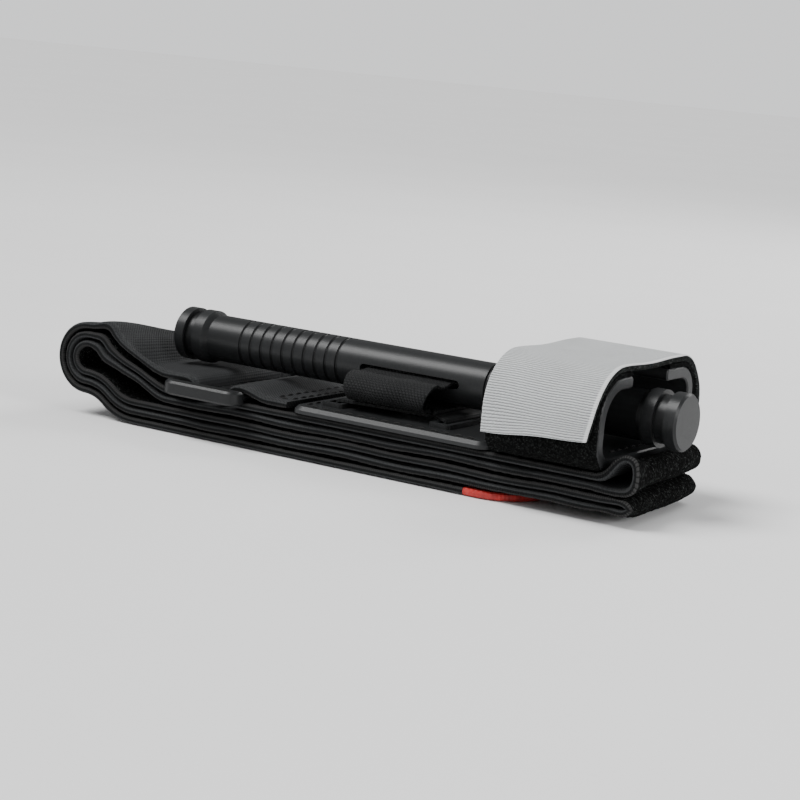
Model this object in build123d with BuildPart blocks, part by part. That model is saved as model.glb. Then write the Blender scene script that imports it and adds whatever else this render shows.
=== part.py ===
"""Windlass tourniquet, folded for carrying: a hook-and-loop band with an inner ribbon, a friction buckle,
a windlass rod parked in its two-sided clip, and a strap that closes over the clip.

Frame, in millimetres: X runs along the folded band and the parked rod, towards the clip. Y runs across the
band and Z is up. The origin is on the flat bottom face, straight below the middle of the windlass rod.
Each soft strap is drawn as the side profile of its centre line, given a thickness and pushed out to its width.
"""

import os
from math import acos, atan2, copysign, degrees, sin

from build123d import *

# ---- driving dimensions -------------------------------------------------------------------------------------
BAND_WIDTH = 38.0
BAND_T = 2.0
PLY_GAP = 0.15
PITCH = BAND_T + PLY_GAP
RIBBON_WIDTH = 25.0
RIBBON_T = 0.6
CHANNEL_WIDTH = 26.0
CHANNEL_T = 0.8

ROD_LENGTH = 131.0
ROD_D = 10.8
ROD_END_D = 12.4
ROD_NECK_D = 10.4
ROD_CAP = 2.9
ROD_NECK = 2.6
ROD_COLLAR = 2.6
ROD_FLARE = 1.4
ROD_SLOT_LENGTH = 26.0
ROD_SLOT_HEIGHT = 2.0
GRIP_PITCH = 3.0
GRIP_GROOVES = 10
GRIP_DEPTH = 0.4

CLIP_X = 30.0
CLIP_LENGTH = 26.0
CLIP_WIDTH = 43.0
CLIP_WALL = 2.5
CLIP_CAVITY = 14.0
CLIP_MOUTH = 16.0
FRONT_TOP_R = 9.5
REAR_TOP_R = 6.0
FRONT_FOOT_R = 6.0
REAR_FOOT_R = 4.5

HOOK_T = 1.1
LINING_T = 1.1
FACE_T = 0.35
SKIN_GAP = 0.05
STRAP_FREE_END_Z = 16.0
STRAP_ANCHOR_Z = 12.6

PLATE_X = (-21.0, 29.4)
PLATE_WIDTH = 40.0
PLATE_T = 1.6
PLATE_BEVEL = 0.8
RIM_T = 1.0
RIM_WALL = 1.2
RIBBON_SLOT_X = 14.0
RIBBON_SLOT_T = 3.0

BUCKLE_WIDTH = 47.0
BUCKLE_INSIDE = 39.6
BUCKLE_T = 3.2
BAR_T = 1.6
TOOTH_SIZE = 1.4
TOOTH_T = 1.0
TOOTH_PITCH = 3.2
TOOTH_COUNT = 11

THREAD_T = 0.3
THREAD_W = 0.7

# ---- heights of the five layers, each the middle of its thickness --------------------------------------------
TAIL_Z = BAND_T / 2
LAYER_4 = TAIL_Z + PITCH
LAYER_3 = LAYER_4 + PITCH
LAYER_2 = LAYER_3 + PITCH
LAYER_1 = LAYER_2 + PITCH
STACK_TOP = LAYER_1 + BAND_T / 2

REST_GAP = 0.1
CLIP_Z = STACK_TOP + REST_GAP
CAVITY_Z = CLIP_Z + CLIP_WALL
CLIP_HEIGHT = 2 * CLIP_WALL + CLIP_CAVITY
CLIP_TOP = CLIP_Z + CLIP_HEIGHT
ROD_Z = CAVITY_Z + CLIP_CAVITY / 2 + 0.4

# ---- the buckle and the band that runs through it ------------------------------------------------------------
LOOP_R = 1.85
BUCKLE_Z = LAYER_1 + LOOP_R
OVER_BAR_Z = BUCKLE_Z + LOOP_R
FIXED_BAR = (-37.0, -35.0)
MIDDLE_BAR = (-43.4, -42.0)
TOOTHED_BAR = (-53.6, -50.2)
BUCKLE_X = (TOOTHED_BAR[0] - BAR_T / 2 - 0.4, FIXED_BAR[1] + BAR_T / 2 + 0.4)
LAP_END_X = -22.6
LAP_X = -28.5
LAP_Z = LAYER_1 + PITCH

# ---- the fold at the left end --------------------------------------------------------------------------------
FOLD_X = -80.0
FOLD_Z = 13.6
FOLD_R = 7.7
FOLD_RISE = 13.5
FOLD_FALL_R = (8.0, 14.0)
UNDER_ROD_Z = 12.7
SPLIT_ANGLE = 0.5

# ---- the two folds at the right end --------------------------------------------------------------------------
END_FOLD_R = 2.4
UPPER_FOLD = (61.5, 12.75 - END_FOLD_R)
LOWER_FOLD = (61.0, TAIL_Z + END_FOLD_R)
FOLD_RUN_OUT = 6.0

# ---- the loose end of the tail -------------------------------------------------------------------------------
TAIL_JOINT_X = 8.0
TAIL_JOINT_GAP = 0.1
TAIL_END_X = 24.0
TIP_X = 38.0
TONGUE_LENGTH = 8.0
TONGUE_T = 0.8
TONGUE_WIDTH = 34.0


def jog(start, run, rise):
    """Two equal tangent arcs that carry a level line by run and rise, and leave it level."""
    radius = (run**2 + rise**2) / (4 * abs(rise))
    turn = copysign(degrees(2 * atan2(abs(rise), abs(run))), run * rise)
    first = JernArc(start, (copysign(1, run), 0), radius, turn)
    return JernArc(first @ 1, first % 1, radius, -turn)


def end_fold(start_x, start_z, centre, back_z):
    """From a level layer heading right, round a fold at the right end, to a level layer heading left."""
    centre_x, centre_z = centre
    out = Line((start_x, start_z), (centre_x - FOLD_RUN_OUT, start_z))
    jog(out @ 1, FOLD_RUN_OUT, centre_z + END_FOLD_R - start_z)
    CenterArc(centre, END_FOLD_R, 90, -180)
    return jog((centre_x, centre_z - END_FOLD_R), -FOLD_RUN_OUT, back_z - centre_z + END_FOLD_R)


def fold_arc(depth, first_angle, sweep_angle):
    """Part of the fold at the left end, for a layer this deep below the outermost one."""
    return CenterArc((FOLD_X, FOLD_Z), FOLD_R - depth, first_angle, sweep_angle)


def rise_to_fold(depth, level_x, level_z):
    """From a level layer, up a hollow beside the end of the rod, to the crest of the left fold."""
    height = UNDER_ROD_Z - FOLD_Z
    hollow_r = (FOLD_RISE**2 + height**2 - FOLD_R**2) / (2 * (FOLD_R - height))
    steep = degrees(atan2(FOLD_RISE, hollow_r + height))
    fold_arc(depth, 90, -steep)
    hollow_x = FOLD_X + FOLD_RISE
    CenterArc((hollow_x, UNDER_ROD_Z + hollow_r), hollow_r + depth, 270 - steep, steep)
    hollow_z = UNDER_ROD_Z - depth
    return jog((hollow_x, hollow_z), level_x - hollow_x, level_z - hollow_z)


def fall_from_fold(depth, end_x):
    """From the bottom of the left fold, down a long gentle sweep, to a level layer heading right."""
    bottom_z = FOLD_Z - FOLD_R
    over_r, under_r = FOLD_FALL_R
    steep = acos(1 - (bottom_z - TAIL_Z) / (over_r + under_r))
    CenterArc((FOLD_X, bottom_z - over_r), over_r + depth, 90, -degrees(steep))
    level_x = FOLD_X + (over_r + under_r) * sin(steep)
    CenterArc((level_x, TAIL_Z + under_r), under_r - depth, 270 - degrees(steep), degrees(steep))
    return Line((level_x, TAIL_Z + depth), (end_x, TAIL_Z + depth))


def upper_return(start_x):
    """The band's way from the plate round the upper right fold and back left to the crest of the left fold."""
    back = end_fold(start_x, LAYER_1, UPPER_FOLD, LAYER_2)
    Line(back @ 1, (-57.0, LAYER_2))
    rise_to_fold(2 * PITCH, -57.0, LAYER_2)


def lower_return():
    """The band's way from the left fold, round the lower right fold, and back left to the left fold."""
    fall_from_fold(2 * PITCH, 0)
    back = end_fold(0, LAYER_3, LOWER_FOLD, LAYER_4)
    Line(back @ 1, (0, LAYER_4))
    fall_from_fold(PITCH, 0)


def thread_frame(length, width):
    """A closed rectangle of thread, drawn in the sketch that is open."""
    Rectangle(length, width)
    Rectangle(length - 2 * THREAD_W, width - 2 * THREAD_W, mode=Mode.SUBTRACT)


def clip_skin(gap, thickness, y_range, z_range):
    """A strip that follows the outside of the clip at a gap, cut off by a range in Y and in Z."""
    offset(clip_outline.sketch_local, amount=gap + thickness, mode=Mode.ADD)
    offset(clip_outline.sketch_local, amount=gap, mode=Mode.SUBTRACT)
    middle = ((y_range[0] + y_range[1]) / 2, (z_range[0] + z_range[1]) / 2)
    with Locations(middle):
        Rectangle(y_range[1] - y_range[0], z_range[1] - z_range[0], mode=Mode.INTERSECT)


def save(shape, name):
    """Labels a finished piece and writes it as its own file."""
    shape.label = name
    export_step(shape, f"parts/{name}.step")


os.makedirs("parts", exist_ok=True)

# ---- band, upper half: sewn round the buckle, under the plate and clip, and back beneath itself --------------
with BuildPart() as band_upper:
    with BuildSketch(Plane.XZ):
        with BuildLine():
            lap = Line((LAP_END_X, LAP_Z), (LAP_X, LAP_Z))
            over_bar = jog(lap @ 1, FIXED_BAR[1] - LAP_X, OVER_BAR_Z - LAP_Z)
            Line(over_bar @ 1, (FIXED_BAR[0], OVER_BAR_Z))
            CenterArc((FIXED_BAR[0], BUCKLE_Z), LOOP_R, 90, 180)
            upper_return(FIXED_BAR[0])
        trace(line_width=BAND_T)
    extrude(amount=BAND_WIDTH / 2, both=True)
    with BuildSketch(Plane.XZ):
        with BuildLine():
            Line((-30.0, LAYER_1), (-RIBBON_SLOT_X, LAYER_1))
        trace(line_width=CHANNEL_T)
        with BuildLine():
            upper_return(RIBBON_SLOT_X)
        trace(line_width=CHANNEL_T)
    extrude(amount=CHANNEL_WIDTH / 2, both=True, mode=Mode.SUBTRACT)
    with BuildSketch(Plane.XY.offset(LAYER_1)):
        with Locations((-RIBBON_SLOT_X, 0), (RIBBON_SLOT_X, 0)):
            Rectangle(RIBBON_SLOT_T, CHANNEL_WIDTH)
    extrude(amount=BAND_T, mode=Mode.SUBTRACT)
save(band_upper.part, "band_upper")

# ---- inner ribbon in the upper half: a sewn end left of the plate, and the long run right of it --------------
with BuildPart() as ribbon_anchor:
    with BuildSketch(Plane.XZ):
        with BuildLine():
            Line((-29.5, LAYER_1), (-RIBBON_SLOT_X, LAYER_1))
        trace(line_width=RIBBON_T)
    extrude(amount=RIBBON_WIDTH / 2, both=True)
save(ribbon_anchor.part, "ribbon_anchor")

with BuildPart() as ribbon_upper:
    with BuildSketch(Plane.XZ):
        with BuildLine():
            upper_return(RIBBON_SLOT_X)
        trace(line_width=RIBBON_T)
    extrude(amount=RIBBON_WIDTH / 2, both=True)
save(ribbon_upper.part, "ribbon_upper")

# ---- band through the buckle: in along the top layer, round the toothed bar and back out as the tail ---------
with BuildPart() as band_through_buckle:
    with BuildSketch(Plane.XZ):
        with BuildLine():
            rise_to_fold(PITCH, TOOTHED_BAR[0], LAYER_1)
            Line((TOOTHED_BAR[0], LAYER_1), (TOOTHED_BAR[1], LAYER_1))
            CenterArc((TOOTHED_BAR[1], BUCKLE_Z), LOOP_R, 270, 180)
            Line((TOOTHED_BAR[1], OVER_BAR_Z), (TOOTHED_BAR[0], OVER_BAR_Z))
            rise_to_fold(0, TOOTHED_BAR[0], OVER_BAR_Z)
        trace(line_width=BAND_T)
    extrude(amount=BAND_WIDTH / 2, both=True)
save(band_through_buckle.part, "band_through_buckle")

# ---- left fold: three plies, one inside the other ------------------------------------------------------------
with BuildPart() as tail_fold:
    with BuildSketch(Plane.XZ):
        with BuildLine():
            fold_arc(0, 90 + SPLIT_ANGLE, 180 - 2 * SPLIT_ANGLE)
        trace(line_width=BAND_T)
    extrude(amount=BAND_WIDTH / 2, both=True)
save(tail_fold.part, "tail_fold")

with BuildPart() as band_fold_outer:
    with BuildSketch(Plane.XZ):
        with BuildLine():
            fold_arc(PITCH, 90 + SPLIT_ANGLE, 180 - 2 * SPLIT_ANGLE)
        trace(line_width=BAND_T)
    extrude(amount=BAND_WIDTH / 2, both=True)
save(band_fold_outer.part, "band_fold_outer")

with BuildPart() as band_fold_inner:
    with BuildSketch(Plane.XZ):
        with BuildLine():
            fold_arc(2 * PITCH, 90 + SPLIT_ANGLE, 180 - 2 * SPLIT_ANGLE)
        trace(line_width=BAND_T)
    extrude(amount=BAND_WIDTH / 2, both=True)
    with BuildSketch(Plane.XZ):
        with BuildLine():
            fold_arc(2 * PITCH, 90, 180)
        trace(line_width=CHANNEL_T)
    extrude(amount=CHANNEL_WIDTH / 2, both=True, mode=Mode.SUBTRACT)
save(band_fold_inner.part, "band_fold_inner")

with BuildPart() as ribbon_fold:
    with BuildSketch(Plane.XZ):
        with BuildLine():
            fold_arc(2 * PITCH, 90 + SPLIT_ANGLE, 180 - 2 * SPLIT_ANGLE)
        trace(line_width=RIBBON_T)
    extrude(amount=RIBBON_WIDTH / 2, both=True)
save(ribbon_fold.part, "ribbon_fold")

# ---- band, lower half, with its ribbon: two plies joined by the lower right fold -----------------------------
with BuildPart() as band_lower:
    with BuildSketch(Plane.XZ):
        with BuildLine():
            lower_return()
        trace(line_width=BAND_T)
    extrude(amount=BAND_WIDTH / 2, both=True)
    with BuildSketch(Plane.XZ):
        with BuildLine():
            lower_return()
        trace(line_width=CHANNEL_T)
    extrude(amount=CHANNEL_WIDTH / 2, both=True, mode=Mode.SUBTRACT)
save(band_lower.part, "band_lower")

with BuildPart() as ribbon_lower:
    with BuildSketch(Plane.XZ):
        with BuildLine():
            lower_return()
        trace(line_width=RIBBON_T)
    extrude(amount=RIBBON_WIDTH / 2, both=True)
save(ribbon_lower.part, "ribbon_lower")

# ---- tail: the bottom layer, its loose end, and the coloured tab that finds it in the dark -------------------
with BuildPart() as tail_lower:
    with BuildSketch(Plane.XZ):
        with BuildLine():
            fall_from_fold(0, TAIL_JOINT_X - TAIL_JOINT_GAP)
        trace(line_width=BAND_T)
    extrude(amount=BAND_WIDTH / 2, both=True)
save(tail_lower.part, "tail_lower")

with BuildPart() as tail_end:
    with BuildSketch():
        with Locations((TAIL_JOINT_X, 0)):
            Rectangle(TAIL_END_X - TAIL_JOINT_X, BAND_WIDTH, align=(Align.MIN, Align.CENTER))
    extrude(amount=BAND_T)
    with BuildSketch(Plane.XY.offset(TAIL_Z - TONGUE_T / 2)):
        with Locations((TAIL_END_X, 0)):
            Rectangle(TONGUE_LENGTH, TONGUE_WIDTH, align=(Align.MIN, Align.CENTER))
    extrude(amount=TONGUE_T)
save(tail_end.part, "tail_end")

with BuildPart() as tip_tab:
    with BuildSketch():
        with Locations((TAIL_END_X + PLY_GAP, 0)):
            Rectangle(TIP_X - TAIL_END_X - PLY_GAP, BAND_WIDTH, align=(Align.MIN, Align.CENTER))
        fillet(vertices().group_by(Axis.X)[-1], radius=11)
    extrude(amount=BAND_T)
    with BuildSketch(Plane.XY.offset(TAIL_Z - TONGUE_T / 2 - SKIN_GAP)):
        with Locations((TAIL_END_X, 0)):
            Rectangle(TONGUE_LENGTH + PLY_GAP, TONGUE_WIDTH + PLY_GAP, align=(Align.MIN, Align.CENTER))
    extrude(amount=TONGUE_T + 2 * SKIN_GAP, mode=Mode.SUBTRACT)
    with BuildSketch():
        with Locations((TAIL_END_X + 4.5, 0)):
            thread_frame(6, 28)
    extrude(amount=THREAD_T, mode=Mode.SUBTRACT)
save(tip_tab.part, "tip_tab")

with BuildPart() as tip_stitching:
    with BuildSketch(Plane.XY.offset(SKIN_GAP)):
        with Locations((TAIL_END_X + 4.5, 0)):
            thread_frame(6, 28)
    extrude(amount=THREAD_T - SKIN_GAP)
save(tip_stitching.part, "tip_stitching")

# ---- friction buckle: side rails, three round-edged bars, and teeth on the middle bar ------------------------
with BuildPart() as friction_buckle:
    with BuildSketch(Plane.XY.offset(BUCKLE_Z - BUCKLE_T / 2)):
        with Locations(((BUCKLE_X[0] + BUCKLE_X[1]) / 2, 0)):
            Rectangle(BUCKLE_X[1] - BUCKLE_X[0], BUCKLE_WIDTH)
            fillet(vertices(), radius=3)
            Rectangle(BUCKLE_X[1] - BUCKLE_X[0], BUCKLE_INSIDE, mode=Mode.SUBTRACT)
    extrude(amount=BUCKLE_T)
    chamfer(edges().filter_by(GeomType.LINE).filter_by(Axis.X), length=0.5)
    with BuildSketch(Plane.XZ):
        for bar in (FIXED_BAR, MIDDLE_BAR, TOOTHED_BAR):
            with Locations(((bar[0] + bar[1]) / 2, BUCKLE_Z)):
                SlotCenterToCenter(bar[1] - bar[0], BAR_T)
    extrude(amount=BUCKLE_INSIDE / 2 + 1, both=True)
    with BuildSketch(Plane.XY.offset(BUCKLE_Z - TOOTH_T / 2)):
        with Locations((MIDDLE_BAR[0] - BAR_T / 4, 0)):
            with GridLocations(0, TOOTH_PITCH, 1, TOOTH_COUNT):
                RegularPolygon(radius=TOOTH_SIZE, side_count=3, rotation=180)
    extrude(amount=TOOTH_T)
save(friction_buckle.part, "friction_buckle")

with BuildPart() as buckle_stitching:
    with BuildSketch(Plane.XY.offset(LAP_Z + BAND_T / 2)):
        with Locations(((LAP_END_X + LAP_X) / 2, 0)):
            thread_frame(LAP_END_X - LAP_X - 1.6, BAND_WIDTH - 6)
    extrude(amount=THREAD_T)
save(buckle_stitching.part, "buckle_stitching")

# ---- plate that spreads the load under the rod, with two rimmed slots for the ribbon -------------------------
PLATE_MID = (PLATE_X[0] + PLATE_X[1]) / 2
PLATE_TOP = CLIP_Z + PLATE_T
with BuildPart() as base_plate:
    with BuildSketch(Plane.XY.offset(CLIP_Z)):
        with Locations((PLATE_MID, 0)):
            Rectangle(PLATE_X[1] - PLATE_X[0], PLATE_WIDTH)
            fillet(vertices(), radius=3)
    extrude(amount=PLATE_T)
    chamfer(faces().sort_by(Axis.Z)[-1].edges(), length=PLATE_BEVEL)
    with BuildSketch(Plane.XY.offset(PLATE_TOP)):
        with Locations((-RIBBON_SLOT_X, 0), (RIBBON_SLOT_X, 0)):
            RectangleRounded(RIBBON_SLOT_T + 2 * RIM_WALL, CHANNEL_WIDTH + 2 * RIM_WALL, 1.0)
    extrude(amount=RIM_T)
    with BuildSketch(Plane.XY.offset(CLIP_Z)):
        with Locations((-RIBBON_SLOT_X, 0), (RIBBON_SLOT_X, 0)):
            Rectangle(RIBBON_SLOT_T, CHANNEL_WIDTH)
    extrude(amount=PLATE_T + RIM_T, mode=Mode.SUBTRACT)
save(base_plate.part, "base_plate")

with BuildPart() as plate_stitching:
    with BuildSketch(Plane.XY.offset(PLATE_TOP)):
        with Locations((PLATE_MID, 0)):
            thread_frame(PLATE_X[1] - PLATE_X[0] - 4, PLATE_WIDTH - 4)
    extrude(amount=THREAD_T)
save(plate_stitching.part, "plate_stitching")

# ---- windlass clip: an open-topped box with a wide sloping shoulder at the front -----------------------------
with BuildSketch(Plane.YZ.offset(CLIP_X)) as clip_outline:
    with Locations((0, CLIP_Z + CLIP_HEIGHT / 2)):
        Rectangle(CLIP_WIDTH, CLIP_HEIGHT)
    for corner_y, corner_z, radius in (
        (-CLIP_WIDTH / 2, CLIP_Z, FRONT_FOOT_R),
        (CLIP_WIDTH / 2, CLIP_Z, REAR_FOOT_R),
        (-CLIP_WIDTH / 2, CLIP_TOP, FRONT_TOP_R),
        (CLIP_WIDTH / 2, CLIP_TOP, REAR_TOP_R),
    ):
        fillet(vertices().sort_by_distance((corner_y, corner_z, 0))[0], radius=radius)

with BuildPart() as windlass_clip:
    with BuildSketch(Plane.YZ.offset(CLIP_X)):
        add(clip_outline.sketch_local)
        offset(clip_outline.sketch_local, amount=-CLIP_WALL, mode=Mode.SUBTRACT)
        with Locations((0, CLIP_TOP)):
            Rectangle(CLIP_MOUTH, 3 * CLIP_WALL, mode=Mode.SUBTRACT)
        lips = vertices().filter_by_position(Axis.X, -CLIP_MOUTH / 2 - 0.1, CLIP_MOUTH / 2 + 0.1)
        fillet(lips.filter_by_position(Axis.Y, CAVITY_Z + 2, CLIP_TOP + 1), radius=0.8)
    extrude(amount=CLIP_LENGTH)
    chamfer(faces().sort_by(Axis.X)[-1].outer_wire().edges(), length=0.3)
save(windlass_clip.part, "windlass_clip")

with BuildPart() as clip_stitching:
    with BuildSketch(Plane.XY.offset(CAVITY_Z)):
        with Locations((CLIP_X + CLIP_LENGTH / 2, 0)):
            thread_frame(CLIP_LENGTH - 6, CLIP_WIDTH / 2)
    extrude(amount=THREAD_T)
save(clip_stitching.part, "clip_stitching")

# ---- hook tape glued on both arms ----------------------------------------------------------------------------
HALF_MOUTH = CLIP_MOUTH / 2 + 0.6
OUT_Y = CLIP_WIDTH
with BuildPart() as hook_tape_front:
    with BuildSketch(Plane.YZ.offset(CLIP_X)):
        clip_skin(0, HOOK_T, (-OUT_Y, -HALF_MOUTH), (STRAP_ANCHOR_Z, 2 * CLIP_TOP))
    extrude(amount=CLIP_LENGTH)
save(hook_tape_front.part, "hook_tape_front")

with BuildPart() as hook_tape_rear:
    with BuildSketch(Plane.YZ.offset(CLIP_X)):
        clip_skin(0, HOOK_T, (HALF_MOUTH, OUT_Y), (STRAP_ANCHOR_Z, 2 * CLIP_TOP))
    extrude(amount=CLIP_LENGTH)
save(hook_tape_rear.part, "hook_tape_rear")

# ---- closing strap: a thin grey face on a thick fuzzy lining, in a rear, a top and a front length ------------
LINING_GAP = HOOK_T + SKIN_GAP
FACE_GAP = LINING_GAP + LINING_T
REAR_SPLIT_Y = CLIP_WIDTH / 2 - REAR_TOP_R
FRONT_SPLIT_Y = -CLIP_WIDTH / 2 + FRONT_TOP_R
STRAP_LENGTHS = {
    "rear": ((REAR_SPLIT_Y + SKIN_GAP, OUT_Y), (STRAP_ANCHOR_Z, 2 * CLIP_TOP)),
    "top": ((FRONT_SPLIT_Y + SKIN_GAP, REAR_SPLIT_Y - SKIN_GAP), (CLIP_TOP, 2 * CLIP_TOP)),
    "front": ((-OUT_Y, FRONT_SPLIT_Y - SKIN_GAP), (STRAP_FREE_END_Z, 2 * CLIP_TOP)),
}
for place, (y_range, z_range) in STRAP_LENGTHS.items():
    with BuildPart() as strap_lining:
        with BuildSketch(Plane.YZ.offset(CLIP_X)):
            clip_skin(LINING_GAP, LINING_T, y_range, z_range)
        extrude(amount=CLIP_LENGTH)
    save(strap_lining.part, f"strap_lining_{place}")
    with BuildPart() as strap_face:
        with BuildSketch(Plane.YZ.offset(CLIP_X)):
            clip_skin(FACE_GAP, FACE_T, y_range, z_range)
        extrude(amount=CLIP_LENGTH)
    save(strap_face.part, f"strap_face_{place}")

with BuildPart() as anchor_stitching:
    with BuildSketch(Plane.XZ.offset(-(CLIP_WIDTH / 2 + FACE_GAP + FACE_T))):
        with Locations((CLIP_X + CLIP_LENGTH / 2, CLIP_Z + CLIP_HEIGHT / 2 - 1.5)):
            thread_frame(CLIP_LENGTH - 5, 4)
    extrude(amount=-THREAD_T)
save(anchor_stitching.part, "anchor_stitching")

# ---- windlass rod: round bar, flared collars, necks and end caps, grip grooves and the ribbon slot -----------
HALF_ROD = ROD_LENGTH / 2
NECK_X = HALF_ROD - ROD_CAP
COLLAR_X = NECK_X - ROD_NECK
FLARE_X = COLLAR_X - ROD_COLLAR
with BuildPart() as windlass_rod:
    with BuildSketch(Plane.XZ.shift_origin((0, 0, ROD_Z))):
        with BuildLine():
            Polyline(
                (0, 0),
                (0, ROD_D / 2),
                (FLARE_X - ROD_FLARE, ROD_D / 2),
                (FLARE_X, ROD_END_D / 2),
                (COLLAR_X, ROD_END_D / 2),
                (COLLAR_X, ROD_NECK_D / 2),
                (NECK_X, ROD_NECK_D / 2),
                (NECK_X, ROD_END_D / 2),
                (HALF_ROD, ROD_END_D / 2),
                (HALF_ROD, 0),
                close=True,
            )
        make_face()
        with Locations((RIBBON_SLOT_X + 4 + GRIP_PITCH * GRIP_GROOVES / 2, ROD_D / 2)):
            with GridLocations(GRIP_PITCH, 0, GRIP_GROOVES, 1):
                Circle(radius=GRIP_DEPTH, mode=Mode.SUBTRACT)
    revolve(axis=Axis((0, 0, ROD_Z), (1, 0, 0)))
    mirror(about=Plane.YZ)
    ends = edges().filter_by(GeomType.CIRCLE).group_by(Axis.X)
    chamfer(ends[0], length=0.5)
    chamfer(edges().filter_by(GeomType.CIRCLE).group_by(Axis.X)[-1], length=0.5)
    with BuildSketch(Plane.XZ):
        with Locations((0, ROD_Z)):
            SlotOverall(ROD_SLOT_LENGTH, ROD_SLOT_HEIGHT)
    extrude(amount=ROD_D, both=True, mode=Mode.SUBTRACT)
save(windlass_rod.part, "windlass_rod")

# ---- windlass ribbon: two legs rise from the plate, gather as they twist a quarter turn, and meet in the rod --
LEG_PATH = (
    # along X, along Y, height, turn of the ribbon in degrees, width
    (-14.0, 0.0, PLATE_TOP + RIM_T - 0.2, 0, 24.0),
    (-13.4, -2.5, PLATE_TOP + RIM_T + 0.6, 20, 21.0),
    (-10.5, -7.6, PLATE_TOP + RIM_T + 1.5, 50, 16.0),
    (-4.5, -9.6, ROD_Z - 2.6, 75, 16.0),
    (0.0, -7.4, ROD_Z, 90, 22.0),
)
LEG_DIRECTION = ((0, 0, 1), (0.1, -0.5, 0.6), (0.5, -0.4, 0.8), (0.3, 0.5, 1.0), (0, 1, 0))
SLOT_FOOT_Z = LAYER_1 + RIBBON_T / 2
with BuildPart() as windlass_ribbon:
    with BuildSketch(Plane.XY.offset(SLOT_FOOT_Z)):
        with Locations((-RIBBON_SLOT_X, 0)):
            Rectangle(RIBBON_T, LEG_PATH[0][4])
    extrude(amount=LEG_PATH[0][2] - SLOT_FOOT_Z)
    for (leg_x, leg_y, leg_z, turn, width), heading in zip(LEG_PATH, LEG_DIRECTION):
        across = Vector(0, 1, 0).rotate(Axis.Z, turn)
        square = Vector(*heading) - across * Vector(*heading).dot(across)
        with BuildSketch(Plane(origin=(leg_x, leg_y, leg_z), x_dir=across, z_dir=square)):
            Rectangle(width, RIBBON_T)
    loft(ruled=True)
    with BuildSketch(Plane.XZ.offset(-LEG_PATH[-1][1])):
        with Locations((0, ROD_Z)):
            Rectangle(LEG_PATH[-1][4], RIBBON_T)
    extrude(amount=LEG_PATH[-1][1])
    add(windlass_ribbon.part.rotate(Axis.Z, 180))
save(windlass_ribbon.part, "windlass_ribbon")
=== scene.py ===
import math

import bmesh
import bpy
import numpy as np
from mathutils import Matrix, Vector, noise


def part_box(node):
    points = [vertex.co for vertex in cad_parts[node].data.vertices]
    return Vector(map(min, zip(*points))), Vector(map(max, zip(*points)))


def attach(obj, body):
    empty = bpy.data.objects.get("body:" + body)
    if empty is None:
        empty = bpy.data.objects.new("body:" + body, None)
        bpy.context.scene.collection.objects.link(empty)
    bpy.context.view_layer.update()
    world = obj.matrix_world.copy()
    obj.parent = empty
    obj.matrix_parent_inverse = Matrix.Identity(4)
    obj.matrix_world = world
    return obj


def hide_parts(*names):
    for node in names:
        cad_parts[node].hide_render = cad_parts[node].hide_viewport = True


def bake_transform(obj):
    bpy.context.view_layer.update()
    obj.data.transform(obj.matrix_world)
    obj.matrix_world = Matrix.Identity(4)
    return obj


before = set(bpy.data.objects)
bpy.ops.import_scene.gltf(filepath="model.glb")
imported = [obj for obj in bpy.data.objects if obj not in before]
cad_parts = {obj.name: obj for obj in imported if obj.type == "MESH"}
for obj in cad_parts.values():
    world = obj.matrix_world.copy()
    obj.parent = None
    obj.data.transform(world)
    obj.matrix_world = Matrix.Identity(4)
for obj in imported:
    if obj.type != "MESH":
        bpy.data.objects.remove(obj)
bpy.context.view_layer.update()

# Looks of the folded windlass tourniquet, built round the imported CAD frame.
#
# Lengths are in millimetres until a mesh is made, and every mesh is then scaled to metres. X runs along the
# rod towards the clip, Y across the band towards the rear, Z up. Every strap is a closed sheet that follows
# the side profile of its centre line. Left and right mean the two faces of a sheet as seen by someone who
# walks along its path.

MM = 0.001


def box_mm(node):
    """Lowest and highest corner of a CAD node, in millimetres."""
    low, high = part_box(node)
    return low / MM, high / MM


# ---- sizes taken from the frame ----
TAIL_LOW, TAIL_HIGH = box_mm("tail_end")
FOLD_LOW, FOLD_HIGH = box_mm("tail_fold")
CLIP_LOW, CLIP_HIGH = box_mm("windlass_clip")
ROD_LOW, ROD_HIGH = box_mm("windlass_rod")
TAB_LOW, TAB_HIGH = box_mm("tip_tab")
THREAD_BOXES = {name: box_mm(f"{name}_stitching") for name in ("plate", "clip", "buckle", "tip", "anchor")}

PLY = TAIL_HIGH.z - TAIL_LOW.z
BAND_WIDTH = TAIL_HIGH.y - TAIL_LOW.y
TAIL_Z = PLY / 2
LAYER_1 = box_mm("band_through_buckle")[0].z + PLY / 2
PITCH = (LAYER_1 - TAIL_Z) / 4
LAYER_2 = LAYER_1 - PITCH
LAYER_3 = LAYER_2 - PITCH
LAYER_4 = LAYER_3 - PITCH
SPLIT_Z = (LAYER_2 + LAYER_3) / 2
ROD_Z = (ROD_LOW.z + ROD_HIGH.z) / 2
RIM_Z = box_mm("base_plate")[1].z

# ---- the visible cloth, and the usual distance between the points of a path ----
CLOTH_T = 1.5
RIBBON_T = 0.6
STEP = 0.6

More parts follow.
